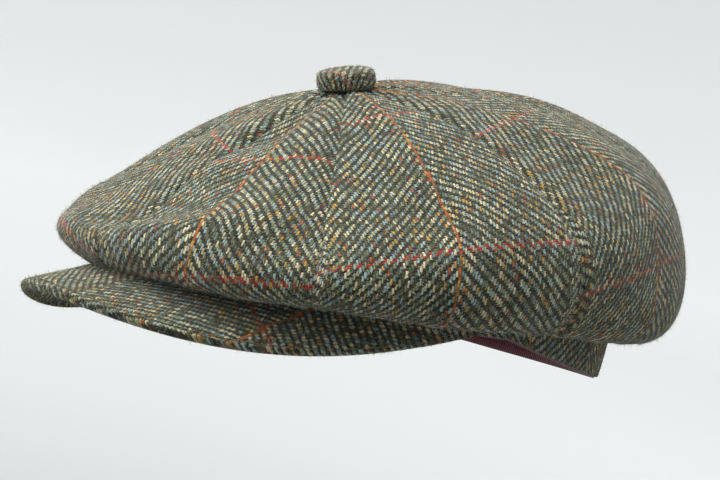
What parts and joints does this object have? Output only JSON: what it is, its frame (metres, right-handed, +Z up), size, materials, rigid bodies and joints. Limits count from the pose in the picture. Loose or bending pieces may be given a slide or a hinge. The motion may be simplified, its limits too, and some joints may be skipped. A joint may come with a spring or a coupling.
{
  "type": "newsboy cap",
  "caption": "Soft panelled newsboy cap in herringbone tweed: full crown overhanging a head band, curved stiff peak, covered button on top, satin lining.",
  "frame": {"origin": "Middle of the head opening, on the plane of the head band's lower edge.", "axes": "+Z up out of the crown, the front of the cap (the peak) faces -Y, the wearer's left is +X. The cap mirrors across the YZ plane."},
  "size_m": [0.2554, 0.2964, 0.1245],
  "materials": {
    "tweed": "woollen herringbone tweed, sage, navy and cream yarns with orange and red overchecks",
    "satin_lining": "smooth burgundy satin",
    "sweatband_cloth": "ribbed burgundy cotton",
    "sewing_thread": "twisted thread",
    "peak_board": "flexible board",
    "button_metal": "plain pressed metal"
  },
  "bodies": {
    "cap": {"crown_gore_1": "tweed", "crown_gore_2": "tweed", "crown_gore_3": "tweed", "crown_gore_4": "tweed", "crown_gore_5": "tweed", "crown_gore_6": "tweed", "crown_gore_7": "tweed", "crown_gore_8": "tweed", "lining_gore_1": "satin_lining", "lining_gore_2": "satin_lining", "lining_gore_3": "satin_lining", "lining_gore_4": "satin_lining", "lining_gore_5": "satin_lining", "lining_gore_6": "satin_lining", "lining_gore_7": "satin_lining", "lining_gore_8": "satin_lining", "head_band": "tweed", "sweatband": "sweatband_cloth", "sweatband_stitching": "sewing_thread", "button_cover": "tweed", "button_shell": "button_metal", "button_back_plate": "button_metal", "button_shank": "button_metal", "button_fixing_washer": "button_metal"},
    "peak": {"peak_top_cover": "tweed", "peak_under_cover": "tweed", "peak_board": "peak_board", "peak_edge_stitching": "sewing_thread"}
  },
  "joints": [
    {"name": "peak_flex", "type": "hinge", "parent": "cap", "child": "peak", "pos_m": [0, -0.02, -0.012], "axis": [1, 0, 0], "range_deg": [0, 8], "stiffness_Nm_per_rad": 4, "springref_deg": -0.57}
  ]
}
